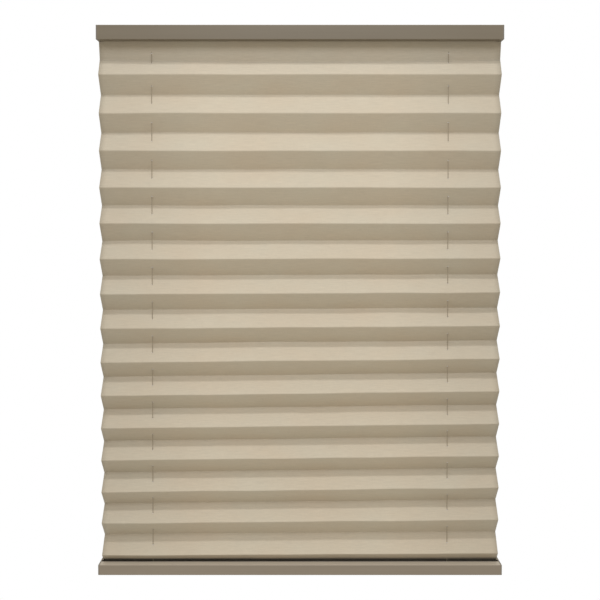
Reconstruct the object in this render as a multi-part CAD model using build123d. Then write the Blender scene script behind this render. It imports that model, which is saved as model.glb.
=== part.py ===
from build123d import *
import math
import os

# A cordless pleated blind, hung by the channel in the top of its headrail.
# Millimetres. X runs along the rails, -Y is the room side, +Z is up.
# The origin is the middle of the headrail's top face. The blind is fully lowered.

# ---- overall sizes ----
BLIND_WIDTH = 711.0  # over the end caps
BLIND_DROP = 965.0  # headrail top to bottom rail underside
RAIL_DEPTH = 48.0  # front to back, both rails

# ---- rail extrusions ----
HEAD_HEIGHT = 25.4
BASE_HEIGHT = 18.0
RAIL_WALL = 1.2
LIP_THICKNESS = 1.0  # the lips beside each fabric slot
RAIL_EDGE_RADIUS = 0.7
MOUTH_WIDTH = 30.0  # bracket channel in the headrail's top
SLOT_WIDTH = 10.0  # where the fabric enters each rail
GROOVE_HEIGHT = 2.6  # room for the fabric strip behind the lips
GROOVE_RIB = 1.0
WEIGHT_RIB_HEIGHT = 3.0
WEIGHT_RIB = 1.0

# ---- end caps ----
CAP_THICKNESS = 2.5
CAP_CHAMFER = 0.5
CAP_PLUG_DEPTH = 12.0
CAP_PLUG_WALL = 1.6
CAP_FIT = 0.1

# ---- fabric and its strips ----
PLEAT_FACE = 40.0  # fold to fold along the cloth
PLEAT_OPENNESS = 0.755  # a hanging face's drop, as a share of its length
PITCH_STRETCH = 0.19  # how much further the top pleats are pulled open
STRETCH_POWER = 1.8
FIRST_RIDGE_DROP = 59.5  # headrail slot to first ridge
FIRST_VALLEY_RISE = 27.5  # first ridge up to first valley
FIRST_VALLEY_SETBACK = 16.0  # first ridge back to first valley
LAST_RIDGE_RISE = 18.5  # bottom rail slot to last ridge
FABRIC_THICKNESS = 0.5
FABRIC_TOP_INSET = 1.5  # cloth edge in from the blind's end, just below the headrail
FABRIC_BOTTOM_INSET = 5.0  # the same at the bottom rail
FABRIC_END_INSET = 3.5  # the same for the ends that lie in the slots
FLAP_HALF_WIDTH = 4.0
SLOT_CLEARANCE = 0.3
STRIP_WIDTH = 20.0
STRIP_THICKNESS = 1.4
STRIP_INSET = 5.5  # strip end in from the blind's end
STRIP_FIT = 0.3
CORD_HOLE_RADIUS = 2.0  # in the fabric, the strips and the bottom rail's web

# ---- lift cords ----
CORD_INSET = 93.5  # cord in from the blind's end
CORD_DIAMETER = 1.0
CORD_SEAT = 0.3  # air between a cord and what carries it
CORD_WRAP_DEG = 300.0  # what is left on the spool when the blind is down
KNOT_RADIUS = 1.6

# ---- guide pulleys and their cradles ----
PULLEY_CORD_RADIUS = 4.2
PULLEY_FLANGE_RADIUS = 5.1
PULLEY_HALF_WIDTH = 2.0
PULLEY_FLANGE = 1.2
PULLEY_PIN_RADIUS = 0.75
PLATE_THICKNESS = 1.2
PLATE_FIT = 0.3
CRADLE_INNER = 10.0  # plate past the pulley's axis, towards the middle
CRADLE_OUTER = 6.0  # plate past the cord, towards the end
CHEEK_THICKNESS = 1.5
CHEEK_HALF_LENGTH = 5.5
CHEEK_ABOVE_PIN = 3.0
SNOUT_RADIUS = 2.8
SNOUT_BORE_RADIUS = 1.5
SNOUT_FIT = 0.2
STRIP_CLEARANCE = 0.3

# ---- spring motor ----
RUNNING_GAP = 0.3
GEAR_MODULE = 0.8
GEAR_TEETH = 26
GEAR_WIDTH = 3.0
GEAR_PRESSURE_DEG = 20.0
GEAR_THINNING = 0.15  # taken off each tooth for backlash
GEAR_DEDENDUM = 1.25
FLANK_STEPS = 4
SPOOL_CORD_RADIUS = 7.0
SPOOL_FLANGE_RADIUS = 9.8
SPOOL_FLANGE = 0.7
SPOOL_HEAD_GAP = 0.5  # cord to flange, and flange to cover
DRIVE_SETBACK = 2.6  # drive drum further back than the spools, as y
STORAGE_PITCH = 20.9
STORAGE_FLANGE_RADIUS = 9.0
DRUM_CORE_RADIUS = 6.0
SPRING_STRIP = 0.3
DRIVE_COIL_RADIUS = 7.7
STORAGE_COIL_RADIUS = 7.1
PIN_RADIUS = 1.2
PIN_PRESS = 0.02
PIN_RUNNING = 0.05
PIN_SOCKET = 0.8
CASE_LEFT = -24.0
CASE_RIGHT_MARGIN = 14.0
CASE_FRONT_FACE = 7.0
CASE_WALL = 1.2
COVER_THICKNESS = 1.6
COVER_TOP = -6.0
CORD_GATE_HALF_WIDTH = 1.5
POST_RADIUS = 2.4
POST_INSET = 2.6
SCREW_RADIUS = 0.8
SCREW_LENGTH = 8.0
SCREW_HEAD_RADIUS = 1.6
SCREW_HEAD = 0.8
SCREW_FIT = 0.05
RECESS_LENGTH = 1.8
RECESS_WIDTH = 0.4

# ---- bottom rail fittings ----
WEIGHT_INSET = 22.0  # bar end in from the cord
WEIGHT_WIDTH = 16.0
WEIGHT_THICKNESS = 5.0
WEIGHT_FIT = 0.1
CORD_PLUG_RADIUS = 3.9
CORD_PLUG_FIT = 0.1
PLUG_POCKET_RADIUS = 2.5
PLUG_CEILING = 3.2
PLUG_CORD_HOLE_RADIUS = 0.8

# ---- levels and places that follow from the sizes above ----
SIDES = {"left": -1, "right": 1}
HALF_WIDTH = BLIND_WIDTH / 2
RAIL_END = HALF_WIDTH - CAP_THICKNESS
CORD_X = HALF_WIDTH - CORD_INSET
INNER_HALF = RAIL_DEPTH / 2 - RAIL_WALL
GROOVE_HALF = STRIP_WIDTH / 2 + STRIP_FIT
CORD_RADIUS = CORD_DIAMETER / 2

HEAD_LIP_TOP = LIP_THICKNESS - HEAD_HEIGHT
HEAD_GROOVE_TOP = HEAD_LIP_TOP + GROOVE_HEIGHT
HEAD_FLOOR = HEAD_GROOVE_TOP + RAIL_WALL

BASE_BOTTOM = -BLIND_DROP
BASE_TOP = BASE_BOTTOM + BASE_HEIGHT
BASE_LIP_UNDER = BASE_TOP - LIP_THICKNESS
BASE_GROOVE_FLOOR = BASE_LIP_UNDER - GROOVE_HEIGHT
BASE_CHAMBER_TOP = BASE_GROOVE_FLOOR - RAIL_WALL
BASE_CHAMBER_FLOOR = BASE_BOTTOM + RAIL_WALL

PLATE_TOP = HEAD_FLOOR + PLATE_THICKNESS
PLATE_HALF = INNER_HALF - PLATE_FIT
PULLEY_X = CORD_X - PULLEY_CORD_RADIUS
PULLEY_Z = PLATE_TOP + RUNNING_GAP + PULLEY_FLANGE_RADIUS
CORD_LEVEL = PULLEY_Z + PULLEY_CORD_RADIUS

GEAR_RADIUS = GEAR_MODULE * GEAR_TEETH / 2
GEAR_BOTTOM = PLATE_TOP + RUNNING_GAP
GEAR_TOP = GEAR_BOTTOM + GEAR_WIDTH
COVER_UNDER = COVER_TOP - COVER_THICKNESS
DRUM_TOP = COVER_UNDER - SPOOL_HEAD_GAP
TOOTH_STEP_DEG = 360 / GEAR_TEETH

SPOOL_Y = -SPOOL_CORD_RADIUS
SPOOL_X = GEAR_RADIUS
DRIVE_Y = SPOOL_Y - DRIVE_SETBACK
DRIVE_X = SPOOL_X + math.sqrt((2 * GEAR_RADIUS) ** 2 - DRIVE_SETBACK ** 2)
STORAGE_X = DRIVE_X + STORAGE_PITCH
STORAGE_Y = DRIVE_Y
CASE_X = (CASE_LEFT, STORAGE_X + CASE_RIGHT_MARGIN)
CASE_Y = (-PLATE_HALF, CASE_FRONT_FACE)

PLUG_POCKET_TOP = BASE_CHAMBER_TOP - PLUG_CEILING
KNOT_Z = PLUG_POCKET_TOP - CORD_SEAT - KNOT_RADIUS

NOMINAL_PITCH = 2 * PLEAT_FACE * PLEAT_OPENNESS
FABRIC_START = HEAD_LIP_TOP - FABRIC_THICKNESS / 2
FABRIC_END = BASE_LIP_UNDER + FABRIC_THICKNESS / 2


def both(half):
    """The range from minus half to plus half."""
    return (-half, half)


def on_side(side, near, far):
    """A range along X from near to far, counted outwards from the middle."""
    return tuple(sorted((side * near, side * far)))


def block(x_range, y_range, z_range):
    """A box between the low and high value on each axis."""
    ranges = (x_range, y_range, z_range)
    sizes = [high - low for low, high in ranges]
    middle = [(high + low) / 2 for low, high in ranges]
    return Pos(*middle) * Box(*sizes)


def post(x, y, z_range, radius):
    """An upright cylinder."""
    low, high = z_range
    return Pos(x, y, (low + high) / 2) * Cylinder(radius, high - low)


def axle(x, z, y_range, radius):
    """A cylinder lying along Y."""
    low, high = y_range
    return Pos(x, (low + high) / 2, z) * Rot(90, 0, 0) * Cylinder(radius, high - low)


def rail_blank(x_range, z_range):
    """A solid bar with the rails' outline between two X values."""
    low, high = z_range
    section = RectangleRounded(RAIL_DEPTH, high - low, RAIL_EDGE_RADIUS)
    placed = Plane.YZ.offset(x_range[0]) * Pos(0, (low + high) / 2) * section
    return extrude(placed, amount=x_range[1] - x_range[0])


def strip_groove(groove_range):
    """The three hollows behind the lips: one for the strip, one each side of its ribs."""
    length = both(RAIL_END + 1)
    rib = GROOVE_HALF + GROOVE_RIB
    hollow = block(length, both(GROOVE_HALF), groove_range)
    hollow += block(length, (rib, INNER_HALF), groove_range)
    hollow += block(length, (-INNER_HALF, -rib), groove_range)
    return hollow


def headrail():
    """Channel open at the top for its brackets, with the fabric groove below its floor."""
    length = both(RAIL_END + 1)
    rail = rail_blank(both(RAIL_END), (-HEAD_HEIGHT, 0))
    rail -= block(length, both(INNER_HALF), (HEAD_FLOOR, -RAIL_WALL))
    rail -= block(length, both(MOUTH_WIDTH / 2), (-2 * RAIL_WALL, 1))
    rail -= strip_groove((HEAD_LIP_TOP, HEAD_GROOVE_TOP))
    rail -= block(length, both(SLOT_WIDTH / 2), (-HEAD_HEIGHT - 1, HEAD_LIP_TOP + RAIL_WALL))
    for side in SIDES.values():
        floor = (HEAD_GROOVE_TOP - RAIL_WALL, HEAD_FLOOR + RAIL_WALL)
        rail -= post(side * CORD_X, 0, floor, SNOUT_RADIUS + SNOUT_FIT)
    return rail


def bottom_rail():
    """Closed weight chamber below, fabric groove above."""
    length = both(RAIL_END + 1)
    rail = rail_blank(both(RAIL_END), (BASE_BOTTOM, BASE_TOP))
    rail -= block(length, both(INNER_HALF), (BASE_CHAMBER_FLOOR, BASE_CHAMBER_TOP))
    rail -= strip_groove((BASE_GROOVE_FLOOR, BASE_LIP_UNDER))
    rail -= block(length, both(SLOT_WIDTH / 2), (BASE_LIP_UNDER - RAIL_WALL, BASE_TOP + 1))
    rib_inside = WEIGHT_WIDTH / 2 + WEIGHT_FIT
    rib_height = (BASE_CHAMBER_FLOOR, BASE_CHAMBER_FLOOR + WEIGHT_RIB_HEIGHT)
    for face in (1, -1):
        rib_y = on_side(face, rib_inside, rib_inside + WEIGHT_RIB)
        rail += block(both(RAIL_END - CAP_PLUG_DEPTH - CAP_FIT), rib_y, rib_height)
    for side in SIDES.values():
        web = (BASE_CHAMBER_TOP - RAIL_WALL, BASE_GROOVE_FLOOR + RAIL_WALL)
        rail -= post(side * CORD_X, 0, web, CORD_HOLE_RADIUS)
        wall = (BASE_BOTTOM - 1, BASE_CHAMBER_FLOOR + 1)
        rail -= post(side * CORD_X, 0, wall, CORD_PLUG_RADIUS + CORD_PLUG_FIT)
    return rail


def end_cap(side, rail_range, chamber_range):
    """A flange as large as the rail's end, with a hollow plug that fits its chamber."""
    inner_end = RAIL_END - CAP_PLUG_DEPTH
    flange = rail_blank((RAIL_END, RAIL_END + CAP_THICKNESS), rail_range)
    flange = chamfer(flange.faces().sort_by(Axis.X)[-1].edges(), CAP_CHAMFER)
    low, high = chamber_range
    plug_half = INNER_HALF - CAP_FIT
    plug = block((inner_end, RAIL_END), both(plug_half), (low + CAP_FIT, high - CAP_FIT))
    hollow_z = (low + CAP_FIT + CAP_PLUG_WALL, high - CAP_FIT - CAP_PLUG_WALL)
    plug -= block((inner_end - 1, RAIL_END), both(plug_half - CAP_PLUG_WALL), hollow_z)
    cap = flange + plug
    if side < 0:
        return mirror(cap, about=Plane.YZ)
    return cap


def ridge_pitches():
    """Ridge to ridge drops: the upper pleats carry more weight, so they hang further open."""
    span = FABRIC_START - FABRIC_END - FIRST_RIDGE_DROP - LAST_RIDGE_RISE
    count = round(span / NOMINAL_PITCH)
    pull = [(1 - i / (count - 1)) ** STRETCH_POWER for i in range(count)]
    mean_pull = sum(pull) / count
    return [span / count * (1 + PITCH_STRETCH * (one - mean_pull)) for one in pull]


def fold_depth(drop):
    """How far apart in Y two folds lie when one pleat face drops by the given amount."""
    return math.sqrt(PLEAT_FACE ** 2 - drop ** 2)


def fold_line():
    """(y, z) of the cloth's folds, from its flap in the headrail to the one in the bottom rail."""
    pitches = ridge_pitches()
    ridge_z = FABRIC_START - FIRST_RIDGE_DROP
    ridge_y = -fold_depth(pitches[0] / 2) / 2
    first_valley = (ridge_y + FIRST_VALLEY_SETBACK, ridge_z + FIRST_VALLEY_RISE)
    start = [(FLAP_HALF_WIDTH, FABRIC_START), (-FLAP_HALF_WIDTH, FABRIC_START)]
    folds = start + [first_valley, (ridge_y, ridge_z)]
    for pitch in pitches:
        depth = fold_depth(pitch / 2)
        folds.append((depth / 2, ridge_z - pitch / 2))
        ridge_z -= pitch
        folds.append((-depth / 2, ridge_z))
    return folds + [(FLAP_HALF_WIDTH, FABRIC_END), (-FLAP_HALF_WIDTH, FABRIC_END)]


def cloth_outline(points, thickness):
    """The closed outline of a band of the given thickness along a chain of points."""
    lines = [Vector(*b) - Vector(*a) for a, b in zip(points, points[1:])]
    normals = [Vector(-line.Y, line.X).normalized() for line in lines]
    offsets = [normals[0]]
    for before, after in zip(normals, normals[1:]):
        middle = (before + after).normalized()
        offsets.append(middle * (1 / middle.dot(before)))
    offsets.append(normals[-1])
    reach = thickness / 2
    upper = [Vector(*p) + offset * reach for p, offset in zip(points, offsets)]
    lower = [Vector(*p) - offset * reach for p, offset in zip(points, offsets)]
    return [(p.X, p.Y) for p in upper + lower[::-1]]


def pleated_fabric():
    """One folded cloth: zigzag section, a little narrower towards the bottom, with cord holes."""
    outline = cloth_outline(fold_line(), FABRIC_THICKNESS)
    face = make_face(Polyline(*outline, close=True))
    widest = HALF_WIDTH - FABRIC_TOP_INSET
    narrowest = HALF_WIDTH - FABRIC_BOTTOM_INSET
    neck = HALF_WIDTH - FABRIC_END_INSET
    cloth = extrude(Plane.YZ.offset(-widest) * face, amount=2 * widest)
    below_head = -HEAD_HEIGHT - SLOT_CLEARANCE
    right = [(neck, 0), (neck, below_head), (widest, below_head)]
    right += [(narrowest, BASE_TOP), (narrowest, BASE_BOTTOM)]
    left = [(-x, z) for x, z in reversed(right)]
    front = make_face(Polyline(*(right + left), close=True))
    cloth &= extrude(Plane.XZ.offset(-PLEAT_FACE) * front, amount=2 * PLEAT_FACE)
    for side in SIDES.values():
        cloth -= post(side * CORD_X, 0, (BASE_BOTTOM, 0), CORD_HOLE_RADIUS)
    return cloth


def fabric_strip(z_range):
    """Flat strip that the cloth's end is bonded to, held behind a rail's lips."""
    strip = block(both(HALF_WIDTH - STRIP_INSET), both(STRIP_WIDTH / 2), z_range)
    for side in SIDES.values():
        strip -= post(side * CORD_X, 0, z_range, CORD_HOLE_RADIUS)
    return strip


def cord_cradle(side):
    """Plate across the headrail's floor with a guide snout and two cheeks for the pulley."""
    inner_end = PULLEY_X - CRADLE_INNER
    outer_end = CORD_X + CRADLE_OUTER
    x_range = on_side(side, inner_end, outer_end)
    cradle = block(x_range, both(PLATE_HALF), (HEAD_FLOOR, PLATE_TOP))
    snout_end = HEAD_LIP_TOP + STRIP_THICKNESS + STRIP_CLEARANCE
    cradle += post(side * CORD_X, 0, (snout_end, HEAD_FLOOR), SNOUT_RADIUS)
    cheek_x = on_side(side, PULLEY_X - CHEEK_HALF_LENGTH, PULLEY_X + CHEEK_HALF_LENGTH)
    cheek_inside = PULLEY_HALF_WIDTH + RUNNING_GAP
    for face in (1, -1):
        cheek_y = on_side(face, cheek_inside, cheek_inside + CHEEK_THICKNESS)
        cradle += block(cheek_x, cheek_y, (PLATE_TOP, PULLEY_Z + CHEEK_ABOVE_PIN))
    cradle -= post(side * CORD_X, 0, (snout_end - 1, PLATE_TOP + 1), SNOUT_BORE_RADIUS)
    pin_room = both(cheek_inside + CHEEK_THICKNESS + 1)
    cradle -= axle(side * PULLEY_X, PULLEY_Z, pin_room, PULLEY_PIN_RADIUS + PIN_PRESS)
    return cradle


def pulley_pin(side):
    """Axle pressed through both cheeks."""
    length = both(PULLEY_HALF_WIDTH + RUNNING_GAP + CHEEK_THICKNESS)
    return axle(side * PULLEY_X, PULLEY_Z, length, PULLEY_PIN_RADIUS)


def guide_pulley(side):
    """Grooved wheel that turns the cord from upright to level."""
    x = side * PULLEY_X
    groove_radius = PULLEY_CORD_RADIUS - CORD_RADIUS - CORD_SEAT
    wheel = axle(x, PULLEY_Z, both(PULLEY_HALF_WIDTH), groove_radius)
    groove_side = PULLEY_HALF_WIDTH - PULLEY_FLANGE
    for face in (1, -1):
        flange_y = on_side(face, groove_side, PULLEY_HALF_WIDTH)
        wheel += axle(x, PULLEY_Z, flange_y, PULLEY_FLANGE_RADIUS)
    bore = PULLEY_PIN_RADIUS + PIN_RUNNING
    return wheel - axle(x, PULLEY_Z, both(PULLEY_HALF_WIDTH + 1), bore)


def gear_outline(phase_deg):
    """Closed outline of involute teeth, one of them centred on the given angle."""
    pressure = math.radians(GEAR_PRESSURE_DEG)
    base_radius = GEAR_RADIUS * math.cos(pressure)
    tip_radius = GEAR_RADIUS + GEAR_MODULE
    root_radius = GEAR_RADIUS - GEAR_DEDENDUM * GEAR_MODULE
    tooth = math.pi * GEAR_MODULE / 2 - GEAR_THINNING
    pitch_half_angle = tooth / (2 * GEAR_RADIUS)

    def half_angle(radius):
        """Half the tooth's angle at a radius, from the involute function tan a - a."""
        at_radius = math.acos(base_radius / radius)
        opened = math.tan(pressure) - pressure - math.tan(at_radius) + at_radius
        return pitch_half_angle + opened

    steps = range(FLANK_STEPS + 1)
    radii = [base_radius + (tip_radius - base_radius) * i / FLANK_STEPS for i in steps]
    flank = [(root_radius, half_angle(base_radius))]
    flank += [(radius, half_angle(radius)) for radius in radii]
    profile = [(radius, -angle) for radius, angle in flank] + flank[::-1]
    points = []
    for number in range(GEAR_TEETH):
        centre = math.radians(phase_deg + number * TOOTH_STEP_DEG)
        for radius, angle in profile:
            turned = centre + angle
            points.append((radius * math.cos(turned), radius * math.sin(turned)))
    return points


def gear(x, y, phase_deg):
    """Spur gear in the motor's gear layer."""
    face = make_face(Polyline(*gear_outline(phase_deg), close=True))
    return extrude(Plane.XY.offset(GEAR_BOTTOM) * Pos(x, y) * face, amount=GEAR_WIDTH)


def drum_bore(x, y):
    """The running bore of a drum that turns on an upright pin."""
    return post(x, y, (GEAR_BOTTOM - 1, DRUM_TOP + 1), PIN_RADIUS + PIN_RUNNING)


def cord_spool(side):
    """Gear, cord barrel and top flange in one moulding."""
    x = side * SPOOL_X
    phase = 0 if side < 0 else TOOTH_STEP_DEG / 2
    barrel_radius = SPOOL_CORD_RADIUS - CORD_RADIUS - CORD_SEAT
    spool = gear(x, SPOOL_Y, phase)
    spool += post(x, SPOOL_Y, (GEAR_TOP, DRUM_TOP), barrel_radius)
    spool += post(x, SPOOL_Y, (DRUM_TOP - SPOOL_FLANGE, DRUM_TOP), SPOOL_FLANGE_RADIUS)
    return spool - drum_bore(x, SPOOL_Y)


def drive_drum():
    """Gear that meshes with the right spool, and the barrel that the spring pulls on."""
    direction = math.degrees(math.atan2(DRIVE_Y - SPOOL_Y, DRIVE_X - SPOOL_X))
    right_phase = TOOTH_STEP_DEG / 2
    phase = 2 * direction + 180 - right_phase + TOOTH_STEP_DEG / 2
    drum = gear(DRIVE_X, DRIVE_Y, phase)
    drum += post(DRIVE_X, DRIVE_Y, (GEAR_TOP, DRUM_TOP), DRUM_CORE_RADIUS)
    return drum - drum_bore(DRIVE_X, DRIVE_Y)


def storage_drum():
    """Plain drum that the spring coils back onto."""
    drum = post(STORAGE_X, STORAGE_Y, (GEAR_BOTTOM, GEAR_TOP), STORAGE_FLANGE_RADIUS)
    drum += post(STORAGE_X, STORAGE_Y, (GEAR_TOP, DRUM_TOP), DRUM_CORE_RADIUS)
    return drum - drum_bore(STORAGE_X, STORAGE_Y)


def spring_coil(x, y, outer_radius, z_range):
    """The turns of the spring strip on one drum, as a ring."""
    inner_radius = DRUM_CORE_RADIUS + RUNNING_GAP
    return post(x, y, z_range, outer_radius) - post(x, y, z_range, inner_radius)


def power_spring():
    """Steel strip coiled on both drums, crossing over between them."""
    z_range = (GEAR_TOP + RUNNING_GAP, DRUM_TOP - SPOOL_FLANGE)
    spring = spring_coil(DRIVE_X, DRIVE_Y, DRIVE_COIL_RADIUS, z_range)
    spring += spring_coil(STORAGE_X, STORAGE_Y, STORAGE_COIL_RADIUS, z_range)
    drive_line = DRIVE_COIL_RADIUS - SPRING_STRIP / 2
    storage_line = STORAGE_COIL_RADIUS - SPRING_STRIP / 2
    lean = math.acos((drive_line + storage_line) / STORAGE_PITCH)
    out = Vector(math.cos(lean), math.sin(lean))
    drive_touch = Vector(DRIVE_X, DRIVE_Y) + out * drive_line
    storage_touch = Vector(STORAGE_X, STORAGE_Y) - out * storage_line
    middle = (drive_touch + storage_touch) * 0.5
    free_length = (storage_touch - drive_touch).length
    low, high = z_range
    strip = Box(SPRING_STRIP, free_length, high - low)
    place = Pos(middle.X, middle.Y, (low + high) / 2) * Rot(0, 0, math.degrees(lean))
    return spring + place * strip


def upright_pin(x, y):
    """Pin pressed into the case floor, its head end in the cover's socket."""
    return post(x, y, (HEAD_FLOOR, COVER_UNDER + PIN_SOCKET), PIN_RADIUS)


def pin_places():
    """X and Y of the four drums' pins."""
    spools = [(side * SPOOL_X, SPOOL_Y) for side in SIDES.values()]
    return spools + [(DRIVE_X, DRIVE_Y), (STORAGE_X, STORAGE_Y)]


def screw_places():
    """X and Y of the cover's four screws, one in each corner."""
    corners_x = (CASE_X[0] + POST_INSET, CASE_X[1] - POST_INSET)
    corners_y = (CASE_Y[0] + POST_INSET, CASE_Y[1] - POST_INSET)
    return [(x, y) for x in corners_x for y in corners_y]


def motor_case():
    """Base plate across the headrail, with a walled box for the drums."""
    case = block(CASE_X, both(PLATE_HALF), (HEAD_FLOOR, PLATE_TOP))
    walls = block(CASE_X, CASE_Y, (PLATE_TOP, COVER_UNDER))
    inside_x = (CASE_X[0] + CASE_WALL, CASE_X[1] - CASE_WALL)
    inside_y = (CASE_Y[0] + CASE_WALL, CASE_Y[1] - CASE_WALL)
    case += walls - block(inside_x, inside_y, (PLATE_TOP, COVER_UNDER))
    for x, y in screw_places():
        case += post(x, y, (PLATE_TOP, COVER_UNDER), POST_RADIUS)
    for x, y in screw_places():
        hole = (COVER_TOP - SCREW_LENGTH - 1, COVER_UNDER + 1)
        case -= post(x, y, hole, SCREW_RADIUS + PIN_PRESS)
    for x, y in pin_places():
        case -= post(x, y, (HEAD_FLOOR - 1, PLATE_TOP + 1), PIN_RADIUS + PIN_PRESS)
    gate_z = (CORD_LEVEL - CORD_RADIUS - CORD_SEAT, COVER_UNDER + 1)
    all_along = (CASE_X[0] - 1, CASE_X[1] + 1)
    case -= block(all_along, both(CORD_GATE_HALF_WIDTH), gate_z)
    return case


def motor_cover():
    """Flat lid with sockets for the pins and sunk screw heads."""
    cover = block(CASE_X, CASE_Y, (COVER_UNDER, COVER_TOP))
    for x, y in pin_places():
        socket = (COVER_UNDER - 1, COVER_UNDER + PIN_SOCKET)
        cover -= post(x, y, socket, PIN_RADIUS + PIN_PRESS)
    for x, y in screw_places():
        cover -= post(x, y, (COVER_UNDER - 1, COVER_TOP + 1), SCREW_RADIUS + SCREW_FIT)
        seat = (COVER_TOP - SCREW_HEAD, COVER_TOP + 1)
        cover -= post(x, y, seat, SCREW_HEAD_RADIUS + SCREW_FIT)
    return cover


def cover_screws():
    """The four cover screws, with cross recesses."""
    screws = []
    for x, y in screw_places():
        screw = post(x, y, (COVER_TOP - SCREW_LENGTH, COVER_TOP), SCREW_RADIUS)
        screw += post(x, y, (COVER_TOP - SCREW_HEAD, COVER_TOP), SCREW_HEAD_RADIUS)
        recess = Box(RECESS_LENGTH, RECESS_WIDTH, SCREW_HEAD)
        recess += Box(RECESS_WIDTH, RECESS_LENGTH, SCREW_HEAD)
        screws.append(screw - Pos(x, y, COVER_TOP) * recess)
    return Compound(children=screws)


def weight_bar():
    """Steel bar lying between the ribs on the bottom rail's floor."""
    z_range = (BASE_CHAMBER_FLOOR, BASE_CHAMBER_FLOOR + WEIGHT_THICKNESS)
    return block(both(CORD_X - WEIGHT_INSET), both(WEIGHT_WIDTH / 2), z_range)


def cord_plug(side):
    """Plug pushed up from below, which the cord's knot pulls against the web."""
    x = side * CORD_X
    plug = post(x, 0, (BASE_BOTTOM, BASE_CHAMBER_TOP), CORD_PLUG_RADIUS)
    plug -= post(x, 0, (BASE_BOTTOM - 1, PLUG_POCKET_TOP), PLUG_POCKET_RADIUS)
    return plug - post(x, 0, (PLUG_POCKET_TOP - 1, BASE_CHAMBER_TOP + 1), PLUG_CORD_HOLE_RADIUS)


def lift_cord(side):
    """One cord: knot, straight rise, quarter turn, level run, then part of a turn on the spool."""
    x = side * CORD_X
    pulley_x = side * PULLEY_X
    spool_x = side * SPOOL_X
    diagonal = PULLEY_CORD_RADIUS * math.sqrt(0.5)
    half_way = (pulley_x + side * diagonal, 0, PULLEY_Z + diagonal)

    def on_spool(degrees):
        """A point on the spool's cord circle, counted from where the cord first touches it."""
        angle = math.radians(90 + side * degrees)
        reach_x = SPOOL_CORD_RADIUS * math.cos(angle)
        reach_y = SPOOL_CORD_RADIUS * math.sin(angle)
        return (spool_x + reach_x, SPOOL_Y + reach_y, CORD_LEVEL)

    path = Line((x, 0, KNOT_Z), (x, 0, PULLEY_Z))
    path += ThreePointArc((x, 0, PULLEY_Z), half_way, (pulley_x, 0, CORD_LEVEL))
    path += Line((pulley_x, 0, CORD_LEVEL), (spool_x, 0, CORD_LEVEL))
    path += ThreePointArc(on_spool(0), on_spool(CORD_WRAP_DEG / 2), on_spool(CORD_WRAP_DEG))
    section = Plane((x, 0, KNOT_Z), z_dir=(0, 0, 1)) * Circle(CORD_RADIUS)
    cord = sweep(section, path=path)
    return cord + Pos(x, 0, KNOT_Z) * Sphere(KNOT_RADIUS)


def all_parts():
    """Every node's name with its solid."""
    parts = {
        "headrail": headrail(),
        "bottom_rail": bottom_rail(),
        "pleated_fabric": pleated_fabric(),
        "fabric_top_strip": fabric_strip((HEAD_LIP_TOP, HEAD_LIP_TOP + STRIP_THICKNESS)),
        "fabric_bottom_strip": fabric_strip((BASE_LIP_UNDER - STRIP_THICKNESS, BASE_LIP_UNDER)),
        "bottom_rail_weight": weight_bar(),
        "motor_case": motor_case(),
        "motor_cover": motor_cover(),
        "motor_cover_screws": cover_screws(),
        "power_spring": power_spring(),
        "drive_drum": drive_drum(),
        "drive_pin": upright_pin(DRIVE_X, DRIVE_Y),
        "storage_drum": storage_drum(),
        "storage_pin": upright_pin(STORAGE_X, STORAGE_Y),
    }
    head_chamber = (HEAD_FLOOR, -RAIL_WALL)
    base_chamber = (BASE_CHAMBER_FLOOR, BASE_CHAMBER_TOP)
    for name, side in SIDES.items():
        parts[f"headrail_end_cap_{name}"] = end_cap(side, (-HEAD_HEIGHT, 0), head_chamber)
        base_range = (BASE_BOTTOM, BASE_TOP)
        parts[f"bottom_rail_end_cap_{name}"] = end_cap(side, base_range, base_chamber)
        parts[f"cord_cradle_{name}"] = cord_cradle(side)
        parts[f"guide_pulley_{name}"] = guide_pulley(side)
        parts[f"pulley_pin_{name}"] = pulley_pin(side)
        parts[f"cord_spool_{name}"] = cord_spool(side)
        parts[f"spool_pin_{name}"] = upright_pin(side * SPOOL_X, SPOOL_Y)
        parts[f"cord_plug_{name}"] = cord_plug(side)
        parts[f"lift_cord_{name}"] = lift_cord(side)
    return parts


os.makedirs("parts", exist_ok=True)
for node, shape in all_parts().items():
    export_step(shape, f"parts/{node}.step")
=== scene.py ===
# %% [markdown]
# # A pleated window blind
#
# This lesson dresses a cordless pleated blind that hangs fully lowered. The rails, caps and
# the spring motor come from the CAD model and only get finishes. The cloth, the two lift
# cords, their knots and the motor's spring are soft or springy things, so they are made here
# as surfaces worked out with numpy.
#
# Everything is in metres. X runs along the rails, -Y is the room side and +Z is up. The
# origin is the middle of the headrail's top face.

# %% Load the CAD frame
import math

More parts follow.
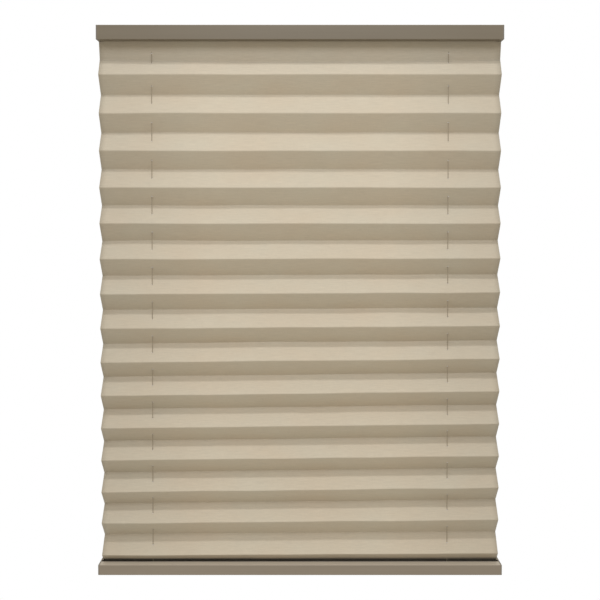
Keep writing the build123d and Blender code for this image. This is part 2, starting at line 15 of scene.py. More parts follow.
import bpy
import numpy as np
from mathutils import Euler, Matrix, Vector


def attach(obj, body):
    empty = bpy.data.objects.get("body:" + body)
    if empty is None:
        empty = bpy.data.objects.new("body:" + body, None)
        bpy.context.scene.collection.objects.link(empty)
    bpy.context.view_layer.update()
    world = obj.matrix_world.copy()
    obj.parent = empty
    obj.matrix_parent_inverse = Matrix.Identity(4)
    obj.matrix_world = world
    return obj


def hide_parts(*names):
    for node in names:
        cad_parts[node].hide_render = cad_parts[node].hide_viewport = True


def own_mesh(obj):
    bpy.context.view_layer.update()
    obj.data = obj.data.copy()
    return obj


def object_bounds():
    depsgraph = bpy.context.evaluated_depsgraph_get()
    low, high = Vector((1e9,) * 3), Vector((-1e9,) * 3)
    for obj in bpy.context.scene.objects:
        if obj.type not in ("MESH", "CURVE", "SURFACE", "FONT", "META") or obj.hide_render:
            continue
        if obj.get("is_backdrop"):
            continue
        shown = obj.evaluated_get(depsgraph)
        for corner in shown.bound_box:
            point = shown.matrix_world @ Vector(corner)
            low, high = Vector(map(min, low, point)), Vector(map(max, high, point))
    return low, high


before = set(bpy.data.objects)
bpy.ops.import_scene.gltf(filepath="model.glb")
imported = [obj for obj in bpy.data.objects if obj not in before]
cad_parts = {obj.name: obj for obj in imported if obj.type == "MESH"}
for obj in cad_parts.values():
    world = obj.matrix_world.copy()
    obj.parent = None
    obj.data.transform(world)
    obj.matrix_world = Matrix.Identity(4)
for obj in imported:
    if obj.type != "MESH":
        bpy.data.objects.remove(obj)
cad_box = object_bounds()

MM = 0.001
print("CAD nodes loaded:", len(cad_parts))

# %% [markdown]
# ## Putting a computed surface into Blender
#
# A surface is a grid of points, a function of two parameters. One helper turns such a grid
# into a mesh, with the grid's own two lengths kept as a UV map in metres. A UV in metres is
# handy on cloth and cord: a weave of 0.3 mm is then 0.3 mm everywhere, and the pattern
# follows every fold.


# %% A grid of points becomes a mesh
def grid_faces(rows, columns, keep=None):
    """Quads between neighbouring points: corner (i, j), (i, j+1), (i+1, j+1), (i+1, j)."""
    index = np.arange(rows * columns).reshape(rows, columns)
    corners = [index[:-1, :-1], index[:-1, 1:], index[1:, 1:], index[1:, :-1]]
    quads = np.stack(corners, axis=-1)
    if keep is None:
        return quads.reshape(-1, 4)
    return quads[keep]


def link_piece(name, points, faces, layer, corner_uv):
    """A smooth mesh object at the origin, with one UV pair for each corner of each face."""
    mesh = bpy.data.meshes.new(name)
    mesh.from_pydata(points.tolist(), [], faces)
    if corner_uv is not None:
        uv_map = mesh.uv_layers.new(name=layer)
        uv_map.data.foreach_set("uv", corner_uv.astype(np.float32).ravel())
    mesh.polygons.foreach_set("use_smooth", np.full(len(faces), True))
    mesh.update()
    piece = bpy.data.objects.new(name, mesh)
    bpy.context.scene.collection.objects.link(piece)
    return piece


def make_piece(name, points, faces, uv=None):
    """A piece from a grid's points and faces; points that no face uses are left out."""
    used, compact = np.unique(faces, return_inverse=True)
    faces = compact.reshape(faces.shape)
    corner_uv = None if uv is None else uv.reshape(-1, 2)[used][faces.ravel()]
    return link_piece(name, points.reshape(-1, 3)[used], faces.tolist(), "cloth_uv", corner_uv)


# %% [markdown]
# ## Where the cloth folds
#
# A pleated cloth is ironed with a fold every 40 mm. When it hangs, the upper pleats carry
# the weight of all the cloth below them and of the bottom rail, so they are pulled further
# open than the lower ones. Each face keeps its 40 mm, so a face that drops less stands out
# more from front to back, by Pythagoras.
#
# A hanging blind could be simulated. A stiff pleated sheet is simpler to describe: its shape
# is fixed by where each fold lies, and the folds are known.

# %% The folds' heights
CLOTH_TOP = -24.65 * MM
CLOTH_END = -947.75 * MM
PLEAT_FACE = 40 * MM
FLAP = 4 * MM
RIDGES = 15
FIRST_RIDGE_DROP = 59.5 * MM
FIRST_VALLEY_RISE = 27.5 * MM
FIRST_VALLEY_SETBACK = 16 * MM
LAST_RIDGE_RISE = 18.5 * MM
STRETCH = 0.19  # the top pitch less the bottom one, as a share of the mean pitch
STRETCH_FADE = 1.8  # how fast that dies out further down
END_FLAP, END_FLAP_DROP = 2.2 * MM, 0.1 * MM

span = CLOTH_TOP - CLOTH_END - FIRST_RIDGE_DROP - LAST_RIDGE_RISE
pull = (1 - np.arange(RIDGES - 1) / (RIDGES - 2)) ** STRETCH_FADE
pitches = span / (RIDGES - 1) * (1 + STRETCH * (pull - pull.mean()))
ridge_z = CLOTH_TOP - FIRST_RIDGE_DROP - np.concatenate([[0], np.cumsum(pitches)])
valley_z = np.concatenate([[ridge_z[0] + FIRST_VALLEY_RISE], ridge_z[:-1] - pitches / 2])
fold_z = np.stack([valley_z, ridge_z], axis=1).ravel()
fold_side = np.where(np.arange(2 * RIDGES) % 2 == 0, 1.0, -1.0)
print("ridges", RIDGES, "pitch", (pitches[[0, -1]] / MM).round(1), "mm, first and last")

# %% [markdown]
# ## What a real cloth does between its ends
#
# No real pleat is a ruled line. The lower pleats of this cloth slope a few millimetres down to
# the left, the first valley is drawn down in the middle, the last ridge hangs low, and each
# fold wanders by half a millimetre. These are small, but they tell cloth from sheet metal.

# %% Heights and depths of each fold, across the width
HALF_WIDTH = 0.355
SLOPE = 4.2 * MM
SLOPE_FOLDS, SLOPE_SHARES = [0, 9, 19, 26, 29], [0, 0, 1, 0.95, 0.45]
FIRST_VALLEY_BOW = 4.0 * MM
LAST_RIDGE_SAG = 2.6 * MM
HEIGHT_WANDER, DEPTH_WANDER = 0.45 * MM, 0.4 * MM
LEAST_DEPTH = 4 * MM


def slow_wave(x, seed, shortest, longest, terms=5):
    """A sum of sines with random phases and lengths, scaled to about 1 at its highest."""
    random = np.random.default_rng(seed)
    length = random.uniform(shortest, longest, terms)[:, None]
    phase = random.uniform(0, 2 * np.pi, terms)[:, None]
    weight = random.uniform(0.5, 1, terms)[:, None]
    waves = weight * np.sin(2 * np.pi * x[None] / length + phase)
    return waves.sum(0) / weight.sum() * 1.6


def fold_heights(x):
    """Each fold's height at each x: its level, the slope down to the left, and a wander."""
    number = np.arange(2 * RIDGES)
    slope = np.interp(number, SLOPE_FOLDS, SLOPE_SHARES) * SLOPE
    height = fold_z[:, None] + slope[:, None] * (x / HALF_WIDTH)[None]
    height += HEIGHT_WANDER * np.array([slow_wave(x, 100 + k, 0.12, 0.5) for k in number])
    height[0] -= FIRST_VALLEY_BOW * (1 - (x / HALF_WIDTH) ** 2)
    height[-1] -= LAST_RIDGE_SAG
    return height


def fold_depths(height, x):
    """Each fold's y: half the mean depth of its two faces, each from its length and drop."""
    drop = np.abs(np.diff(height, axis=0))
    depth = np.sqrt(np.maximum(PLEAT_FACE ** 2 - drop ** 2, LEAST_DEPTH ** 2))
    above = np.concatenate([depth[:1], depth])
    below = np.concatenate([depth, depth[-1:]])
    wander = np.array([slow_wave(x, 300 + k, 0.08, 0.3) for k in range(2 * RIDGES)])
    return fold_side[:, None] * (above + below) / 4 + DEPTH_WANDER * wander


def cloth_corners(x):
    """All corners of the cloth's section at each x, as (corner, x, 2) of y and z."""
    z = fold_heights(x)
    y = fold_depths(z, x)
    y[0] = y[1] + FIRST_VALLEY_SETBACK
    flat = np.ones_like(x)
    top = [(FLAP, CLOTH_TOP), (-FLAP, CLOTH_TOP)]
    end = [(FLAP, CLOTH_END), (FLAP - END_FLAP, CLOTH_END - END_FLAP_DROP)]
    rows = [np.stack([flat * a, flat * b], -1) for a, b in top]
    rows += list(np.stack([y, z], -1))
    rows += [np.stack([flat * a, flat * b], -1) for a, b in end]
    return np.array(rows)


# %% [markdown]
# ## Holes for the cords
#
# Each cord hangs in the middle of the pleats' depth and crosses every face once, through a
# small punched hole. In a grid mesh a hole is made by leaving out a block of cells and
# pushing the points round it onto a circle. The grid is finer there, so the circle is round.

# %% The grid's columns and rows
CORD_X = 0.262
HOLE_CELL = 0.65 * MM
HOLE_RADIUS = 0.95 * MM
FINE_CELLS = 5  # fine cells on each side of a hole's centre
FINE_MARGIN = 2 * MM
SIDE_COLUMNS, MIDDLE_COLUMNS = 8, 24
COARSE_ROWS = 3  # rows on each side of the fine group, on every face
HALF_TOP = 0.354

fine = np.arange(-FINE_CELLS, FINE_CELLS + 1) * HOLE_CELL
side_part = np.linspace(CORD_X + fine[-1] + FINE_MARGIN, HALF_TOP, SIDE_COLUMNS)
middle_part = np.linspace(0, CORD_X + fine[0] - FINE_MARGIN, MIDDLE_COLUMNS)
right_half = np.concatenate([middle_part, CORD_X + fine, side_part])
columns_x = np.concatenate([-right_half[:0:-1], right_half])
corners = cloth_corners(columns_x)
print("columns across the cloth:", len(columns_x))


# %% The cloth's section, walked along its length
FIRST_CROSSING, LAST_CROSSING = 0.12, 0.88  # shares of a face
FIRST_ROW, LAST_ROW, ROW_GAP = 0.07, 0.93, 0.03
FOLD_BEND, END_BEND = 1.3 * MM, 0.5 * MM


def crossing_share(start, end):
    """How far along a face, from 0 to 1, its middle column crosses y = 0, kept off the folds."""
    a, b = start[len(columns_x) // 2, 0], end[len(columns_x) // 2, 0]
    return float(np.clip(a / (a - b), FIRST_CROSSING, LAST_CROSSING)) if a * b < 0 else 0.5


def face_shares(crossing, length):
    """Rows along a face: coarse ones, and a fine group of cells round the crossing."""
    near = crossing + fine / length
    before = np.linspace(FIRST_ROW, near[0] - ROW_GAP, COARSE_ROWS)
    after = np.linspace(near[-1] + ROW_GAP, LAST_ROW, COARSE_ROWS)
    return np.concatenate([before, near, after])


def rounded_fold(before, corner, after, reach, steps=4):
    """A small bend: the quadratic curve from one face to the next with the fold as pull."""
    t = np.linspace(0, 1, steps)[:, None, None]
    inward = before - corner
    outward = after - corner
    start = corner + inward / np.linalg.norm(inward, axis=-1, keepdims=True) * reach
    end = corner + outward / np.linalg.norm(outward, axis=-1, keepdims=True) * reach
    return (1 - t) ** 2 * start + 2 * t * (1 - t) * corner + t ** 2 * end


rows, hole_rows = [corners[0][None]], []
for k in range(len(corners) - 1):
    start, end = corners[k], corners[k + 1]
    length = float(np.linalg.norm(end - start, axis=-1).mean())
    inner = 0 < k < len(corners) - 2
    if inner:
        shares = face_shares(crossing_share(start, end), length)
        hole_rows.append(sum(len(r) for r in rows) + COARSE_ROWS + FINE_CELLS)
    else:
        shares = np.array([0.5])
    rows.append(start + shares[:, None, None] * (end - start))
    if k < len(corners) - 2:
        reach = FOLD_BEND if inner and k < len(corners) - 3 else END_BEND
        rows.append(rounded_fold(start, end, corners[k + 2], reach))
rows.append(corners[-1][None])
section = np.concatenate(rows)
along = np.linalg.norm(np.diff(section, axis=0), axis=-1).mean(1)
v_cloth = np.concatenate([[0], np.cumsum(along)])
CLOTH_LENGTH = float(v_cloth[-1])
from_valley = np.linalg.norm(section[:, 0] - corners[2, 0], axis=-1)
FIRST_VALLEY_V = float(v_cloth[np.argmin(from_valley)])
print("cloth rows:", len(section), " length along the cloth:", round(CLOTH_LENGTH, 4), "m")

# %% [markdown]
# ## From section to cloth
#
# The cloth is cut a little narrower towards the bottom, so only its outermost strip is drawn
# in, and the cords' holes stay in line. It is necked in a little where it enters the
# headrail. The faces are not flat either: a woven face between two ironed folds is slack by a
# few tenths of a millimetre, and puckers round each hole.

# %% Cloth points, with the holes pushed round
EDGE_DRAWN_IN = 3.5 * MM
TAPER_START, TAPER_DROP = 0.026, 0.92
TAPER_INNER_X, TAPER_STRIP = 0.290, 0.064
NECK, NECK_START, NECK_DROP = 2.0 * MM, 0.0246, 0.0012
SLACK = 0.16 * MM
SLACK_MARGIN = 0.03


def taper(x, z):
    """x drawn in with the drop, in the cloth's outermost strip only."""
    share = np.clip((-z - TAPER_START) / TAPER_DROP, 0, 1)
    outer = np.clip((np.abs(x) - TAPER_INNER_X) / TAPER_STRIP, 0, 1)
    neck = NECK * np.clip(1 - (-z - NECK_START) / NECK_DROP, 0, 1)
    return x - np.sign(x) * (EDGE_DRAWN_IN * share + neck) * outer


section_y, section_z = section[..., 0], section[..., 1]
wide_x = np.broadcast_to(columns_x, section_y.shape)
cloth_x = taper(wide_x, section_z)
slack = np.zeros_like(section_y)
for seed in range(6):
    across = slow_wave(columns_x, 500 + seed, 0.05, 0.28)
    down = slow_wave(v_cloth, 600 + seed, 0.025, 0.09)
    slack += down[:, None] * across[None]
inside = np.clip(np.minimum(v_cloth, CLOTH_LENGTH - v_cloth) / SLACK_MARGIN, 0, 1)
slack *= SLACK * inside[:, None]
cloth = np.stack([cloth_x, section_y + slack, section_z], axis=-1)
u_cloth = wide_x + HALF_TOP
cloth_uv = np.stack([u_cloth, np.broadcast_to(v_cloth[:, None], u_cloth.shape)], axis=-1)


def ring_offsets(cells):
    """The grid steps (row, column) of the square ring that lies cells away from its centre."""
    step = np.arange(-cells, cells + 1)
    i, j = np.meshgrid(step, step, indexing="ij")
    on_ring = np.maximum(abs(i), abs(j)) == cells
    return i[on_ring], j[on_ring]


# Each ring: cells from the centre, radius, pucker height, share of the way moved there.
RINGS = ((2, HOLE_RADIUS, 0.3 * MM, 1.0), (3, 1.7 * MM, 0.2 * MM, 0.75),
         (4, 2.5 * MM, 0.08 * MM, 0.3))
keep = np.ones((len(section) - 1, len(columns_x) - 1), bool)
for x_middle in (-CORD_X, CORD_X):
    column = int(np.argmin(abs(columns_x - x_middle)))
    for row in hole_rows:
        keep[row - 2:row + 2, column - 2:column + 2] = False
        centre = cloth[row, column].copy()
        down_face = cloth[row + 4, column] - cloth[row - 4, column]
        down_face /= np.linalg.norm(down_face)
        outward = np.cross(down_face, (1.0, 0.0, 0.0))
        for cells, radius, lift, blend in RINGS:
            i, j = ring_offsets(cells)
            angle = np.arctan2(i, j)
            sine, cosine = np.sin(angle)[:, None], np.cos(angle)[:, None]
            round_point = cosine * np.array([1.0, 0, 0]) + sine * down_face
            old = cloth[row + i, column + j]
            new = centre + radius * round_point + lift * outward * sine
            cloth[row + i, column + j] = old + blend * (new - old)
print("cord holes:", 2 * len(hole_rows))

# %% The cloth as a piece
CLOTH_THICKNESS = 0.35 * MM

faces = grid_faces(*section_y.shape, keep)
pleated_cloth = make_piece("pleated_cloth", cloth, faces, cloth_uv)
thickness = pleated_cloth.modifiers.new("cloth thickness", "SOLIDIFY")
thickness.thickness = CLOTH_THICKNESS
thickness.offset = 0
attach(pleated_cloth, "headrail")
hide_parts("pleated_fabric")
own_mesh(pleated_cloth)
print("cloth faces:", len(faces))

# %% [markdown]
# ## The lift cords
#
# A lift cord is a thin braid. Its surface is a tube: a circle carried along a path. The
# strands go round it as two sets of spirals, so the radius gets a ripple that depends on the
# angle and on the length along the cord. The UV map holds the way round and the length, both
# in metres, and the braid's colour reads it.
#
# The straight drop shortens as the rail rises, and the upper part, over its guide pulley and
# along the headrail to its spool, does not. So each cord is two tubes that meet end to end.

# %% A tube along a path
BRAID_LAY = 2.4 * MM


def length_along(path):
    """How far along a path each of its points lies, from 0 at the first."""
    return np.concatenate([[0], np.cumsum(np.linalg.norm(np.diff(path, axis=0), axis=1))])


def tube(path, radius, ripple, sides=10):
    """Points path + radius * (cos a * N + sin a * B), N and B kept from twisting, and a UV.

    At length s the ripple in the radius is sin(2a + t) * sin(2a - t), t = 2 pi s / lay."""
    path = np.asarray(path, float)
    tangent = np.gradient(path, axis=0)
    tangent /= np.linalg.norm(tangent, axis=1, keepdims=True)
    reference = np.array([0.0, 1.0, 0.0])
    if abs(tangent[:, 1]).max() > 0.9:
        reference = np.array([0.0, 0.0, 1.0])
    side = np.cross(tangent, reference)
    side /= np.linalg.norm(side, axis=1, keepdims=True)
    other = np.cross(tangent, side)
    length = length_along(path)
    angle = np.linspace(0, 2 * np.pi, sides + 1)
    turn = 2 * np.pi * length[:, None] / BRAID_LAY
    crossed = np.sin(2 * angle[None] + turn) * np.sin(2 * angle[None] - turn)
    reach = radius * (1 + ripple * crossed)
    cosine, sine = np.cos(angle)[None, :, None], np.sin(angle)[None, :, None]
    points = path[:, None] + reach[..., None] * (cosine * side[:, None] + sine * other[:, None])
    uv = np.stack([np.broadcast_to(angle * radius, reach.shape),
                   np.broadcast_to(length[:, None], reach.shape)], axis=-1)
    return points, uv


def tube_piece(name, points, uv):
    """The tube's grid closed round its seam, with a small cap of triangles at each end."""
    rows, columns = points.shape[:2]
    quads = grid_faces(rows, columns)[:, ::-1]
    corner_uv = uv.reshape(-1, 2)[quads.ravel()]
    index = np.arange(rows * columns).reshape(rows, columns)
    index[:, -1] = index[:, 0]
    closed = index.ravel()[quads]
    ends = points[[0, -1], :-1].mean(1)
    all_points = np.concatenate([points.reshape(-1, 3), ends])
    low, high = rows * columns, rows * columns + 1
    first, last = index[0], index[-1]
    caps = np.concatenate([
        np.stack([np.full(columns - 1, low), first[:-1], first[1:]], -1),
        np.stack([np.full(columns - 1, high), last[1:], last[:-1]], -1)])
    cap_uv = uv.reshape(-1, 2)[np.where(caps >= low, first[0], caps).ravel()]
    return link_piece(name, all_points, closed.tolist() + caps.tolist(), "cord_uv",
                      np.concatenate([corner_uv, cap_uv]))


# %% Two cords, each in two parts
CORD_RADIUS = 0.55 * MM
BRAID_RIPPLE = 0.07
PULLEY_RADIUS = 4.2 * MM
PULLEY_X = CORD_X - PULLEY_RADIUS
PULLEY_Z = -14.0 * MM
CORD_LEVEL = -9.8 * MM
SPOOL_X = 10.4 * MM
SPOOL_RADIUS = 7.0 * MM
SPOOL_WRAP = 300
KNOT_Z = -956.9 * MM
KNOT_OVERLAP = 1.0 * MM
SWAY = 0.12 * MM


def upper_path(side):
    """Quarter turn over the pulley, level run to the spool, then part of a turn round it."""
    quarter = np.linspace(0, np.pi / 2, 14)
    over = np.stack([PULLEY_X + PULLEY_RADIUS * np.cos(quarter), 0 * quarter,
                     PULLEY_Z + PULLEY_RADIUS * np.sin(quarter)], -1)
    over[:, 0] *= side
    run = np.linspace(PULLEY_X, SPOOL_X, 420)[1:]
    level = np.stack([side * run, 0 * run, np.full_like(run, CORD_LEVEL)], -1)
    wrap = np.radians(90 + side * np.linspace(0, SPOOL_WRAP, 90)[1:])
    round_spool = np.stack([side * SPOOL_X + SPOOL_RADIUS * np.cos(wrap),
                            -SPOOL_RADIUS + SPOOL_RADIUS * np.sin(wrap),
                            np.full_like(wrap, CORD_LEVEL)], -1)
    return np.concatenate([over, level, round_spool])


cord_parts = []
for side, word in ((-1, "left"), (1, "right")):
    drop_z = np.linspace(PULLEY_Z, KNOT_Z + KNOT_OVERLAP, 1500)
    sway = SWAY * np.sin(np.pi * (drop_z - PULLEY_Z) / (KNOT_Z - PULLEY_Z))
    drop = np.stack([side * CORD_X + sway * slow_wave(drop_z, 40 + side, 0.15, 0.5),
                     0 * drop_z, drop_z], -1)
    points, uv = tube(drop, CORD_RADIUS, BRAID_RIPPLE)
    straight = tube_piece(f"lift_cord_drop_{word}", points, uv)
    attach(straight, "headrail")
    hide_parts(f"lift_cord_{word}")
    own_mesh(straight)
    points, uv = tube(upper_path(side), CORD_RADIUS, BRAID_RIPPLE)
    wound = tube_piece(f"lift_cord_upper_{word}", points, uv)
    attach(wound, "headrail")
    cord_parts += [straight, wound]
print("cord parts:", [p.name for p in cord_parts])

# %% [markdown]
# ## The knots
#
# Under each cord plug's ceiling sits an overhand knot, which stops the cord from pulling
# through. An overhand knot drawn tight is close to a trefoil: a curve that goes three times
# round a ring while it goes twice round the middle.

# %% Two small knots in the bottom rail
KNOT_SIZE = 0.36 * MM
KNOT_CORD_RADIUS = 0.52 * MM


def trefoil(centre, size, steps=150):
    """x = sin t + 2 sin 2t, y = cos t - 2 cos 2t, z = -1.3 sin 3t, scaled and moved."""
    t = np.linspace(0, 2 * np.pi, steps)
    shape = np.stack([np.sin(t) + 2 * np.sin(2 * t), np.cos(t) - 2 * np.cos(2 * t),
                      -np.sin(3 * t) * 1.3], -1)
    return np.asarray(centre) + size * shape


for side, word in ((-1, "left"), (1, "right")):
    path = trefoil((side * CORD_X, 0, KNOT_Z), KNOT_SIZE)
    points, uv = tube(path, KNOT_CORD_RADIUS, 0.05, sides=12)
    knot = tube_piece(f"cord_knot_{word}", points, uv)
    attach(knot, "bottom_rail")
    cord_parts.append(knot)
print("knots made: 2")

# %% [markdown]
# ## The power spring
#
# The motor's spring is a thin steel strip wound on two drums, crossing from one to the other.
# Real turns lie on each other, so the strip is a spiral whose radius grows by one turn's
# spacing in each turn.

# %% Spring strip as a ribbon
DRIVE = np.array([31.037, -9.6]) * MM
STORAGE = np.array([51.937, -9.6]) * MM
SPRING_LOW, SPRING_HIGH = -15.8 * MM, -8.8 * MM
STRIP = 0.16 * MM
STRIP_EDGE = 0.25 * MM
DRUM_RADIUS = 6.4 * MM
DRIVE_OUTER, STORAGE_OUTER = 7.55 * MM, 6.95 * MM
DRIVE_TURNS, STORAGE_TURNS = 5, 3


def spiral(centre, outer, end_deg, turns, steps_per_turn=64):
    """From the drum out to the outer radius, clockwise, and ending at the angle given."""
    share = np.linspace(0, 1, int(turns * steps_per_turn))
    angle = np.radians(end_deg) - 2 * np.pi * turns * (share - 1)
    radius = DRUM_RADIUS + (outer - DRUM_RADIUS) * share
    return centre + radius[:, None] * np.stack([np.cos(angle), np.sin(angle)], -1)


lean = math.degrees(math.acos((DRIVE_OUTER + STORAGE_OUTER) / (STORAGE[0] - DRIVE[0])))
on_drive = spiral(DRIVE, DRIVE_OUTER, lean, DRIVE_TURNS)
on_storage = spiral(STORAGE, STORAGE_OUTER, lean + 180, STORAGE_TURNS)[::-1]
between = np.linspace(on_drive[-1], on_storage[0], 24)[1:-1]
line = np.concatenate([on_drive, between, on_storage])
heading = np.gradient(line, axis=0)
heading /= np.linalg.norm(heading, axis=1, keepdims=True)
normal = np.stack([-heading[:, 1], heading[:, 0]], -1)
strip_v = length_along(line)
levels = np.array([SPRING_LOW, SPRING_LOW + STRIP_EDGE, SPRING_HIGH - STRIP_EDGE, SPRING_HIGH])
bulge = np.array([0.6, 1.0, 1.0, 0.6])
ring_z = np.concatenate([levels, levels[::-1], levels[:1]])
ring_n = np.concatenate([bulge, -bulge[::-1], bulge[:1]]) * STRIP / 2
flat_xy = line[:, None] + ring_n[None, :, None] * normal[:, None]
strip = np.concatenate([flat_xy, np.broadcast_to(ring_z, flat_xy.shape[:2])[..., None]], -1)
strip_uv = np.stack([np.broadcast_to(ring_z - SPRING_LOW, flat_xy.shape[:2]),
                     np.broadcast_to(strip_v[:, None], flat_xy.shape[:2])], -1)
spring = tube_piece("power_spring_strip", strip, strip_uv)
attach(spring, "headrail")
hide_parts("power_spring")
print("spring strip length:", round(float(strip_v[-1]), 3), "m")

# %% [markdown]
# ## Finishes
#
# Every finish is built from nodes. A few helpers keep the cells short: they start a material,
# add noise or stripes that may be stretched along an axis, do sums on values, mix two colours
# by a value, shade a colour, and turn values into bump.


# %% Node helpers
def finish_named(name, roughness=0.5, metallic=0.0):
    """A new material, its node tree and its Principled shader."""
    material = bpy.data.materials.new(name)
    material.use_nodes = True
    tree = material.node_tree
    shader = tree.nodes["Principled BSDF"]
    shader.inputs["Roughness"].default_value = roughness
    shader.inputs["Metallic"].default_value = metallic
    return material, tree, shader


def coordinates(tree, kind="Object", scale=(1, 1, 1)):
    """Texture coordinates through a Mapping node, scaled on each axis."""
    source = tree.nodes.new("ShaderNodeTexCoord")
    mapping = tree.nodes.new("ShaderNodeMapping")
    mapping.inputs["Scale"].default_value = scale
    tree.links.new(source.outputs[kind], mapping.inputs["Vector"])
    return mapping.outputs["Vector"]


def along_axis(tree, vector, axis):
    """One of a vector's three values: X, Y or Z."""
    node = tree.nodes.new("ShaderNodeSeparateXYZ")
    tree.links.new(vector, node.inputs["Vector"])
    return node.outputs[axis]


def noise(tree, vector, scale, detail=3.0, roughness=0.5):
    """A noise value around 0.5, its grain set by scale per metre."""
    node = tree.nodes.new("ShaderNodeTexNoise")
    node.inputs["Scale"].default_value = scale
    node.inputs["Detail"].default_value = detail
    node.inputs["Roughness"].default_value = roughness
    tree.links.new(vector, node.inputs["Vector"])
    return node.outputs["Fac"]


def stripes(tree, vector, direction="X", distortion=0.0):
    """Soft stripes across one axis, from 0 to 1, one for each 0.314 of the vector's units."""
    node = tree.nodes.new("ShaderNodeTexWave")
    node.bands_direction = direction
    node.inputs["Scale"].default_value = 1.0
    node.inputs["Distortion"].default_value = distortion
    tree.links.new(vector, node.inputs["Vector"])
    return node.outputs["Fac"]


def stretch_range(tree, value, low, high, to_low=0.0, to_high=1.0):
    """Maps a value from one range to another, held inside it."""
    node = tree.nodes.new("ShaderNodeMapRange")
    node.inputs["From Min"].default_value = low
    node.inputs["From Max"].default_value = high
    node.inputs["To Min"].default_value = to_low
    node.inputs["To Max"].default_value = to_high
    tree.links.new(value, node.inputs["Value"])
    return node.outputs["Result"]


def combine(tree, operation, first, second):
    """One Math node: each input is a socket or a number."""
    node = tree.nodes.new("ShaderNodeMath")
    node.operation = operation
    for place, value in enumerate((first, second)):
        if isinstance(value, (int, float)):
            node.inputs[place].default_value = value
        else:
            tree.links.new(value, node.inputs[place])
    return node.outputs["Value"]


def product(tree, first, *others):
    """Any number of values multiplied together."""
    for other in others:
        first = combine(tree, "MULTIPLY", first, other)
    return first


def mix_colours(tree, factor, first, second):
    """Mixes two colours, each a socket or three numbers, by a factor."""
    node = tree.nodes.new("ShaderNodeMix")
    node.data_type = "RGBA"
    tree.links.new(factor, node.inputs[0])
    for place, colour in ((6, first), (7, second)):
        if isinstance(colour, tuple):
            node.inputs[place].default_value = (*colour, 1.0)
        else:
            tree.links.new(colour, node.inputs[place])
    return node.outputs[2]


def shaded_base(tree, shader, colour, shade):
    """The shader's base colour: a colour times a value that is 1 where it stays as it is."""
    node = tree.nodes.new("ShaderNodeVectorMath")
    node.operation = "SCALE"
    tree.links.new(colour, node.inputs[0])
    tree.links.new(shade, node.inputs["Scale"])
    tree.links.new(node.outputs["Vector"], shader.inputs["Base Color"])


def bump(tree, height, distance, strength=1.0, under=None):
    """A Bump node: the height's 0 to 1 stands for this many metres."""
    node = tree.nodes.new("ShaderNodeBump")
    node.inputs["Distance"].default_value = distance
    node.inputs["Strength"].default_value = strength
    tree.links.new(height, node.inputs["Height"])
    if under is not None:
        tree.links.new(under, node.inputs["Normal"])
    return node.outputs["Normal"]


# %% [markdown]
# ## The cloth's weave
#
# The cloth is a plain weave with slubs: yarns that swell and thin along their length, so the
# light catches faint streaks across the blind, some 20 to 40 mm long and a millimetre high.
# Noise stretched along u gives the slubs. Two sets of stripes at right angles give the weave,
# one bump for each yarn.
#
# The cloth's colour also holds painted shade in four places. It darkens a little towards its
# side edges, as painted shade where less light reaches. The narrow face above the first valley
# is darker, as the headrail's painted shadow, and the valley's own crease more so, as painted
# shade in the fold. The last strip, at the bottom rail, darkens most, as painted shade in the
# gap above the rail. Each of these is a value of 1 or less that multiplies the colour, and
# depends on x or on the length down the cloth.

# %% Pleat cloth
# Painted shade in the cloth's colour: at the side edges, on the first face and its crease, and in
# the last strip at the bottom rail.
SIDE_SHADE, SIDE_FROM, SIDE_TO = 0.88, 0.16, 0.35
END_SHADE, END_FROM, END_TO = 0.22, 14 * MM, 6 * MM
FIRST_FACE_SHADE, FIRST_FACE_BLEND = 0.88, 2 * MM
CREASE_SHADE, CREASE_CORE, CREASE_REACH = 0.78, 0.6 * MM, 2.2 * MM
YARNS = (900, 900, 1)


